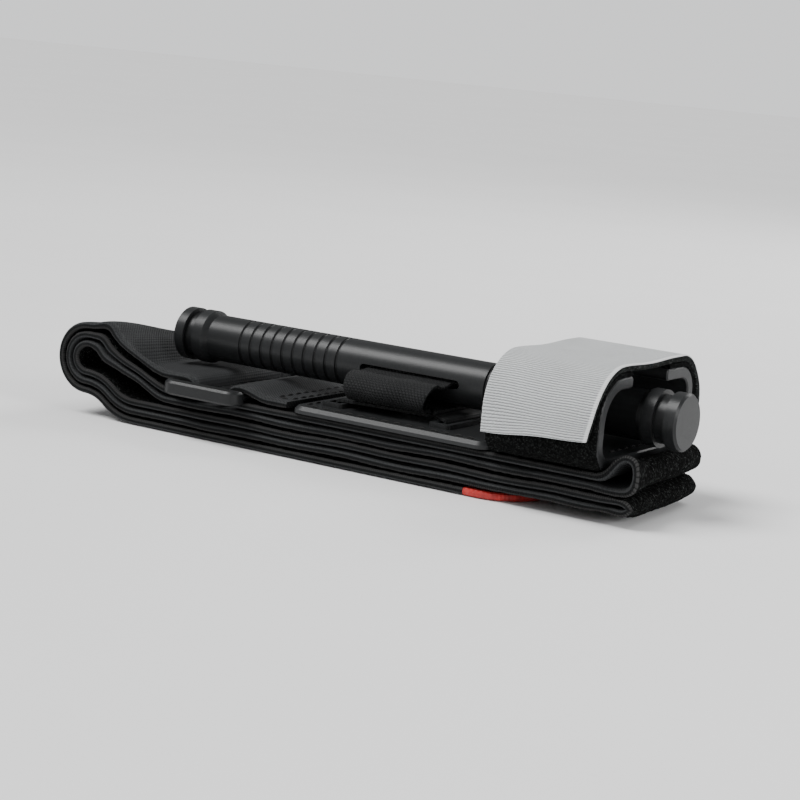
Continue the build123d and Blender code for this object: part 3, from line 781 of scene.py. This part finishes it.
under_bar = join(
    rise_to_fold(PITCH, TOOTHED_BAR[0], LAYER_1)[::-1],
    line((TOOTHED_BAR[0], LAYER_1), (TOOTHED_BAR[1], LAYER_1)),
    arc((TOOTHED_BAR[1], BUCKLE_Z), LOOP_R, 270, 180),
    line((TOOTHED_BAR[1], OVER_BAR_Z), (TOOTHED_BAR[0], OVER_BAR_Z)),
)
over_bar = join(rise_to_fold(0, TOOTHED_BAR[0], OVER_BAR_Z))
for part_name, path, shape in (("entering", under_bar, relax), ("leaving", over_bar, relax_tail)):
    piece = band_sheet(f"band_through_buckle_{part_name}", path, shape)
    settle(piece, "base", ["band_through_buckle"])

lower_path = join(
    fall_from_fold(2 * PITCH, 0),
    end_fold(0, LAYER_3, LOWER_FOLD, LAYER_4),
    line((LOWER_FOLD[0] - FOLD_RUN_OUT, LAYER_4), (0, LAYER_4)),
    fall_from_fold(PITCH, 0)[::-1],
)
piece = band_sheet("band_lower_cloth", uneven(lower_path))
settle(piece, "lower_half", ["band_lower", "ribbon_lower"])

# The left fold: three plies, each in an upper and a lower quarter turn.
# Each ply has its depth below the outermost one, its CAD nodes, and whether the band runs up through it.
FOLD_PLIES = {
    "tail_fold": (0, ["tail_fold"], False),
    "band_fold_outer": (PITCH, ["band_fold_outer"], True),
    "band_fold_inner": (2 * PITCH, ["band_fold_inner", "ribbon_fold"], False),
}
for name, (depth, nodes, runs_up) in FOLD_PLIES.items():
    radius = FOLD_R - depth
    for half, first in (("upper", 90), ("lower", 180)):
        path = join(arc((FOLD_X, FOLD_Z), radius, first, 90), step=0.45, soften=0)
        start = whole_length(over_bar) + (whole_length(path) if half == "lower" else 0)
        piece = band_sheet(f"{name}_{half}", path[::-1] if runs_up else path, start=start)
        if half == "upper":
            settle(piece, None, nodes, ("base", "fold"))
        else:
            settle(piece, None, nodes, ("fold", "lower_half"))

tail_path = join(fall_from_fold(0, TAIL_JOINT_X))
tail_start = whole_length(over_bar) + math.pi * FOLD_R
piece = band_sheet("tail_lower_cloth", tail_path, start=tail_start)
settle(piece, "lower_half", ["tail_lower"])

tail_end_path = join(line((TAIL_JOINT_X, TAIL_Z), (TAB_LOW.x, TAIL_Z)))
piece = band_sheet("tail_end_cloth", tail_end_path, start=tail_start + whole_length(tail_path))
settle(piece, between=("lower_half", "tail_tip"), stands_for=["tail_end"])


# ======== Closing strap and hook tape round the clip ========
REAR_CENTRE = (CLIP_HIGH.y - REAR_TOP_R, CLIP_HIGH.z - REAR_TOP_R)
FRONT_CENTRE = (CLIP_LOW.y + FRONT_TOP_R, CLIP_HIGH.z - FRONT_TOP_R)


def rear_path(gap, foot_z):
    """Up the rear arm and round its top corner, heading to the front."""
    y = CLIP_HIGH.y + gap
    corner = arc(REAR_CENTRE, REAR_TOP_R + gap, 0, 90)
    return np.vstack((line((y, foot_z), (y, REAR_CENTRE[1])), corner))


def front_path(gap, foot_z):
    """Round the front top corner and down the front arm."""
    y = CLIP_LOW.y - gap
    corner = arc(FRONT_CENTRE, FRONT_TOP_R + gap, 90, 90)
    return np.vstack((corner, line((y, FRONT_CENTRE[1]), (y, foot_z))))


def slack(points):
    """The strap bulges away from the rear arm and sinks over the open mouth. Its free end is askew."""
    x, y, z = points.T.copy()
    rear = np.clip((z - HOOK_FOOT_Z) / (REAR_CENTRE[1] + REAR_TOP_R - HOOK_FOOT_Z), 0, 1)
    y = y + np.where(y > REAR_CENTRE[0], REAR_BULGE * np.sin(math.pi * rear) ** 2, 0)
    mouth = ease(np.abs(y), MOUTH_HALF, 0)
    z = z - np.where(z > CLIP_HIGH.z, MOUTH_SINKS * mouth, 0)
    share = (x - CLIP_LOW.x) / STRAP_WIDTH
    free_z = FRONT_CENTRE[1] + 2
    free = ease(z, free_z, free_z - FREE_END_DEPTH) * (y < 0)
    z = z + free * (SKEW_UP[0] + SKEW_UP[1] * share + EDGE_WAVE[0] * np.sin(x / EDGE_WAVE[1]))
    down = np.clip((CLIP_HIGH.z - z) / (CLIP_HIGH.z - STRAP_END_Z), 0, 1) * (y < 0)
    x = x - SKEW_ALONG * share * down**2
    y = y - free * CORNER_PRESSED * smooth_step(share * CORNER_GROWTH)
    return np.column_stack((x, y, z))


# Each layer's gap from the clip, thickness, materials, lint on its two faces and raggedness of its edges.
LINING_GAP = HOOK_T + SKIN_GAP
LAYERS = {
    "strap_lining": (LINING_GAP, LINING_T, (LINING,) * 3, (0.12, 0.10), 0.22),
    "strap_face": (LINING_GAP + LINING_T, FACE_T, (FACE_BACK, FACE, FACE), (0.0, 0.015), 0.03),
}
for name, (gap, thickness, materials, fuzz, ragged) in LAYERS.items():
    middle_gap = gap + thickness / 2
    top_z = CLIP_HIGH.z + middle_gap
    lengths = {
        "rear": rear_path(middle_gap, HOOK_FOOT_Z),
        "top": line((REAR_CENTRE[0], top_z), (FRONT_CENTRE[0], top_z)),
        "front": front_path(middle_gap, STRAP_END_Z),
    }
    start = 0.0
    for place, raw in lengths.items():
        path = join(raw, step=0.4, soften=0)
        piece = sheet(f"{name}_{place}_cloth", path, STRAP_WIDTH, thickness, materials, across="x",
                      middle=STRAP_X, start=start, fuzz=fuzz, grain=0.6, step_across=0.4, shape=slack,
                      ragged=ragged)
        start += whole_length(path)
        nodes = [f"{name}_{place}"]
        if place == "rear":
            settle(piece, between=("base", "strap_top"), stands_for=nodes)
        elif place == "top":
            settle(piece, "strap_top", nodes)
        else:
            settle(piece, between=("strap_top", "strap_tip"), stands_for=nodes)

MOUTH = box_mm("hook_tape_front")[1].y
HOOK_MIDDLE = HOOK_T / 2
HOOK_TOP = CLIP_HIGH.z + HOOK_MIDDLE


def foot(side, corner, gap):
    """Round the lower corner of the clip, from the arm's foot inward and down."""
    low_z = CLIP_LOW.z + corner
    centre = (CLIP_LOW.y + corner, low_z) if side == "front" else (CLIP_HIGH.y - corner, low_z)
    first, sweep = (180, FOOT_WRAP) if side == "front" else (0, -FOOT_WRAP)
    return arc(centre, corner + gap, first, sweep)


rear_tape = np.vstack((
    foot("rear", REAR_FOOT_R, HOOK_MIDDLE)[::-1],
    rear_path(HOOK_MIDDLE, CLIP_LOW.z + REAR_FOOT_R),
    line((REAR_CENTRE[0], HOOK_TOP), (-MOUTH, HOOK_TOP)),
))
front_tape = np.vstack((
    line((MOUTH, HOOK_TOP), (FRONT_CENTRE[0], HOOK_TOP)),
    front_path(HOOK_MIDDLE, CLIP_LOW.z + FRONT_FOOT_R),
    foot("front", FRONT_FOOT_R, HOOK_MIDDLE),
))
for name, raw in (("hook_tape_rear", rear_tape), ("hook_tape_front", front_tape)):
    path = join(raw, step=0.35, soften=0)
    piece = sheet(f"{name}_pile", path, STRAP_WIDTH, HOOK_T, (HOOKS,) * 3, across="x",
                  middle=STRAP_X, fuzz=(0.0, 0.24), grain=0.5, step_across=0.35, ragged=0.2)
    settle(piece, "base", [name])


# ======== Ribbon that carries the rod ========
# A half is half the ribbon's width at that place.
SLOT_X = -14.0
SLOT_BEND_R = 0.8
CREASE_R = 0.4
CREASE_SHIFT = 1.13
SLOT_HALF = 11.7
CREASE_HALF = 9.3
ROD_HALF = 11.0
FLAT_Z = RIM_Z + 0.45
FOLDED_Z = FLAT_Z + 2 * CREASE_R
LOOP_START_Y = -10.9
LOOP_SKEW = 0.22
LOOP_WAVE = 0.10
LOOP_SAG = 0.5


def ribbon_leg():
    """Half of the ribbon, from the left slot of the plate to the middle of the rod. It comes up out of the
    slot, lies down under the rod, turns a quarter turn in a slanting crease, and loops up at the front into
    the rod's slot. Gives its points row by row, and their places on the ribbon laid flat."""
    share = np.linspace(-1, 1, 41)
    crease_length = math.pi * CREASE_R
    middle_y = crease_length / math.sqrt(2) - CREASE_SHIFT
    slot_y = middle_y + SLOT_HALF * share
    crease_y = middle_y + CREASE_HALF * share
    crease_x = -CREASE_SHIFT - crease_y
    rod_x = -ROD_HALF * share
    flat_x = SLOT_X + SLOT_BEND_R
    rows, flat = [], []

    def add(x, y, z, run):
        rows.append(np.column_stack([np.broadcast_to(value, share.shape) for value in (x, y, z)]))
        flat.append(np.column_stack((np.broadcast_to(run, share.shape), ROD_HALF * share)))

    # up through the slot, and over its inner rim
    for z in np.linspace(LAYER_1, FLAT_Z - SLOT_BEND_R, 5)[:-1]:
        add(SLOT_X, slot_y, z, z - FLAT_Z)
    for angle in np.linspace(0, math.pi / 2, 6):
        add(flat_x - SLOT_BEND_R * math.cos(angle), slot_y, FLAT_Z - SLOT_BEND_R * (1 - math.sin(angle)),
            SLOT_BEND_R * (angle - 1))

    # flat under the rod, as far as the slanting crease
    flat_run = crease_x - flat_x
    for t in np.linspace(0, 1, 16)[1:]:
        add(flat_x + flat_run * t, slot_y + (crease_y - slot_y) * t, FLAT_Z, flat_run * t + 0.5)
    run = flat_run + 0.5

    # the crease, a half turn rolled along its slanting line
    for angle in np.linspace(0, math.pi, 9)[1:]:
        out = CREASE_R * math.sin(angle) / math.sqrt(2)
        add(crease_x + out, crease_y + out, FLAT_Z + CREASE_R * (1 - math.cos(angle)),
            run + CREASE_R * angle * math.sqrt(2))
    run = run + crease_length * math.sqrt(2)

    # flat again, out to the front
    start_y = rows[-1][:, 1]
    for t in np.linspace(0, 1, 14)[1:]:
        add(crease_x, start_y + (LOOP_START_Y - start_y) * t, FOLDED_Z, run + (start_y - LOOP_START_Y) * t)
    run = run + start_y - LOOP_START_Y

    # the loop, a half turn that bulges more at one edge and widens towards the rod
    loop_r = (ROD_Z - FOLDED_Z) / 2
    bulge = loop_r * (1 + LOOP_SKEW * share + LOOP_WAVE * np.sin(6.0 * share + 1.0))
    for angle in np.linspace(0, math.pi, 17)[1:]:
        add(crease_x + (rod_x - crease_x) * smooth_step(angle / math.pi),
            LOOP_START_Y - bulge * math.sin(angle), FOLDED_Z + loop_r * (1 - math.cos(angle)),
            run + loop_r * angle)
    run = run + math.pi * loop_r

    # back to the rod, with a little sag on the way
    for t in np.linspace(0, 1, 12)[1:]:
        sag = LOOP_SAG * math.sin(math.pi * min(1, 2 * t)) * (1 + 0.5 * np.sin(5.0 * share))
        add(rod_x, LOOP_START_Y * (1 - t), ROD_Z - sag, run - LOOP_START_Y * t)
    return np.array(rows), np.array(flat)


# The other half is the same leg turned half a turn about the rod's middle.
half_ribbon, half_flat = ribbon_leg()
other_half = half_ribbon[::-1, ::-1] * (-1, -1, 1)
other_flat = 2 * half_flat[-1:] * (1, 0) - half_flat[::-1, ::-1]
middle = np.vstack((half_ribbon, other_half[1:]))
flat = np.vstack((half_flat, other_flat[1:])).reshape(-1, 2)
rows, count = middle.shape[:2]
normal = np.cross(np.gradient(middle, axis=0), np.gradient(middle, axis=1))
offset = normal / np.linalg.norm(normal, axis=2)[..., None] * RIBBON_T / 2
both = np.vstack(((middle + offset).reshape(-1, 3), (middle - offset).reshape(-1, 3)))
faces = closed_faces(rows, count)[0]
piece = make_mesh("windlass_ribbon_cloth", both, faces, np.vstack((flat, flat)), materials=(RIBBON,))
settle(piece, between=("base", "ribbon"), stands_for=["windlass_ribbon"])


# ======== Stitches ========
UP = (0, 0, 1)
DOWN = (0, 0, -1)
REARWARD = (0, 1, 0)
STITCH = 2.3
STITCH_GAP = 0.8
THREAD_HALF = 0.35
THREAD_PROUD = 0.12
SECTIONS = 7
SIDES = 8


def stitch_strand(origin, way, side, up, radius):
    """Points of one stitch, section by section: a short strand that arches up and thins to its ends."""
    points = []
    for t in np.linspace(0, 1, SECTIONS):
        arch = math.sin(math.pi * t)
        swell = radius * (0.35 + 0.65 * arch**0.5)
        centre = origin + way * STITCH * t + up * radius * (0.75 * arch - 0.35)
        for angle in np.linspace(0, 2 * math.pi, SIDES, endpoint=False):
            points.append(centre + swell * (math.cos(angle) * side + math.sin(angle) * up))
    return points


def tube_faces(first, sections, sides):
    """Faces of a closed tube whose vertices start at this index."""
    faces = []
    for i in range(sections - 1):
        for j in range(sides):
            a, b = first + i * sides + j, first + i * sides + (j + 1) % sides
            faces.append((a, b, b + sides, a + sides))
    last = first + (sections - 1) * sides
    faces.append(tuple(first + j for j in range(sides)))
    faces.append(tuple(last + j for j in reversed(range(sides))))
    return faces


def stitch_rows(name, lines, up, material, node, body, radius=0.28):
    """Rows of raised stitches along straight lines."""
    up = np.asarray(up, float)
    vertices, faces = [], []
    for start, end in lines:
        start, end = np.asarray(start, float), np.asarray(end, float)
        length = np.linalg.norm(end - start)
        way = (end - start) / length
        number = max(1, int((length + STITCH_GAP) // (STITCH + STITCH_GAP)))
        spare = length - number * (STITCH + STITCH_GAP) + STITCH_GAP
        for k in range(number):
            origin = start + way * (spare / 2 + k * (STITCH + STITCH_GAP))
            faces += tube_faces(len(vertices), SECTIONS, SIDES)
            vertices += stitch_strand(origin, way, np.cross(up, way), up, radius)
    piece = make_mesh(name, np.array(vertices), faces, materials=(material,))
    return settle(piece, body, [node])


def frame_lines(low, high, z):
    """The four sides of a rectangle in a level plane, drawn in from a thread's outer edge to its middle."""
    x0, y0, x1, y1 = low.x + THREAD_HALF, low.y + THREAD_HALF, high.x - THREAD_HALF, high.y - THREAD_HALF
    corners = [(x0, y0, z), (x1, y0, z), (x1, y1, z), (x0, y1, z)]
    return list(zip(corners, corners[1:] + corners[:1]))


for name, place, z in (
    ("plate_stitches", "plate", THREAD_BOXES["plate"][0].z),
    ("clip_stitches", "clip", THREAD_BOXES["clip"][0].z),
    ("lap_stitches", "buckle", LAP_Z + CLOTH_T / 2),
):
    lines = frame_lines(*THREAD_BOXES[place], z)
    stitch_rows(name, lines, UP, THREAD, f"{place}_stitching", "base")

TAB_STITCH_Z = 0.34
tip_lines = frame_lines(*THREAD_BOXES["tip"], TAB_STITCH_Z)
stitch_rows("tab_stitches", tip_lines, DOWN, RED_THREAD, "tip_stitching", "tail_tip", radius=0.24)

low, high = THREAD_BOXES["anchor"]
strap_y = CLIP_HIGH.y + HOOK_T + SKIN_GAP + LINING_T + FACE_T + THREAD_PROUD
ANCHOR_Z = (HOOK_FOOT_Z + 0.9, HOOK_FOOT_Z + 2.5)
anchor_lines = [((low.x, strap_y, z), (high.x, strap_y, z)) for z in ANCHOR_Z]
stitch_rows("anchor_stitches", anchor_lines, REARWARD, THREAD, "anchor_stitching", "base")


# ======== CAD parts that keep their shape, and the red tab ========
for node, material in (
    ("windlass_clip", MOULDED),
    ("base_plate", MOULDED),
    ("friction_buckle", BUCKLE),
    ("windlass_rod", ROD),
):
    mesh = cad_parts[node].data
    mesh.materials.clear()
    mesh.materials.append(material)

TAB_CORNER_R = 11.0
# The rings of the tab's rounded rim, as how far each is drawn in and its height, up to half way.
LOW_RINGS = ((0.55, 0.18), (0.12, 0.42), (0.0, 0.85))
TAB_RINGS = LOW_RINGS + tuple((inset, PLY - height) for inset, height in reversed(LOW_RINGS))


def tab_outline(inset):
    """Half-round end of the red tab, seen from above."""
    corner = TAB_CORNER_R - inset
    x1, y1 = TAB_HIGH.x - inset, TAB_HIGH.y - inset
    turn = np.radians(np.linspace(90, 0, 24))
    right = np.column_stack((x1 - corner + corner * np.cos(turn), y1 - corner + corner * np.sin(turn)))
    return np.vstack(([(TAB_LOW.x, y1)], right, (right * (1, -1))[::-1], [(TAB_LOW.x, -y1)]))


count = len(tab_outline(0.0))
vertices = np.vstack([np.column_stack((tab_outline(inset), np.full(count, z))) for inset, z in TAB_RINGS])
piece = make_mesh("tip_tab_cloth", vertices, tube_faces(0, len(TAB_RINGS), count), vertices[:, :2],
                  materials=(TAB,), smooth=False)
settle(piece, "tail_tip", ["tip_tab"])


# ======== Studio, in metres but for the camera's distance and aim ========
FLOOR_REACH = 3.0
CORNERS = ((-1, -1), (1, -1), (1, 1), (-1, 1))
SKY_COLOUR = (0.942, 0.95, 0.957, 1)
SKY_LIGHT = 0.30
SKY_SEEN = 1.13
OBJECT_MIDDLE = Vector((0.0, 0.0, 0.015))
KEY_FROM = Vector((-0.40, -0.32, 0.80))

floor_mesh = bpy.data.meshes.new("floor")
floor_mesh.from_pydata([(x * FLOOR_REACH, y * FLOOR_REACH, 0) for x, y in CORNERS], [], [(0, 1, 2, 3)])
floor_mesh.materials.append(floor_material())
put("floor", floor_mesh)

# The sky lights the object only a little. To the camera it is as pale as the floor far away.
world = bpy.data.worlds.new("studio")
bpy.context.scene.world = world
world.use_nodes = True
sky = world.node_tree.nodes["Background"]
sky.inputs["Color"].default_value = SKY_COLOUR
seen = world.node_tree.nodes.new("ShaderNodeLightPath").outputs["Is Camera Ray"]
strength = world.node_tree.nodes.new("ShaderNodeMapRange")
strength.inputs["To Min"].default_value = SKY_LIGHT
strength.inputs["To Max"].default_value = SKY_SEEN
world.node_tree.links.new(seen, strength.inputs["Value"])
world.node_tree.links.new(strength.outputs["Result"], sky.inputs["Strength"])


def soft_box(name, place, size, power):
    """A large square lamp that faces the object. Place and size are in metres, power in watts."""
    light = bpy.data.lights.new(name, "AREA")
    light.shape = "SQUARE"
    light.size = size
    light.energy = power
    lamp = put(name, light)
    lamp.location = place
    lamp.rotation_euler = (OBJECT_MIDDLE - Vector(place)).to_track_quat("-Z", "Y").to_euler()


soft_box("right_fill", (0.85, -0.10, 0.32), size=0.35, power=4.5)
soft_box("front_fill", (-0.1, -0.8, 0.30), size=0.5, power=1.5)
soft_box("back_rim", (0.1, 0.7, 0.5), size=0.4, power=3.0)

# A wide sun from the upper left and a little in front gives the soft main light.
key_light = bpy.data.lights.new("key", "SUN")
key_light.energy = 3.6
key_light.angle = math.radians(32)
put("key", key_light).rotation_euler = KEY_FROM.to_track_quat("Z", "Y").to_euler()

# The camera looks from the front right, a little above, with the horizon slightly rolled.
AZIMUTH = math.radians(31.85)
ELEVATION = math.radians(9.6)
ROLL = math.radians(4.9)
DISTANCE = 498.0
AIM = Vector((-5.0, 0.0, 14.0))
level_back = Vector((math.sin(AZIMUTH), -math.cos(AZIMUTH), 0))
level_right = Vector((math.cos(AZIMUTH), math.sin(AZIMUTH), 0))
back = level_back * math.cos(ELEVATION) + Vector((0, 0, math.sin(ELEVATION)))
right = level_right * math.cos(ROLL) + back.cross(level_right) * math.sin(ROLL)
turn = Matrix((right, back.cross(right), back)).transposed().to_4x4()
camera_data = bpy.data.cameras.new("camera")
camera_data.lens = 100
camera_data.sensor_width = 36
camera_data.clip_start = 0.01
camera = put("camera", camera_data)
camera.matrix_world = Matrix.Translation((AIM + back * DISTANCE) * MM) @ turn
bpy.context.scene.camera = camera
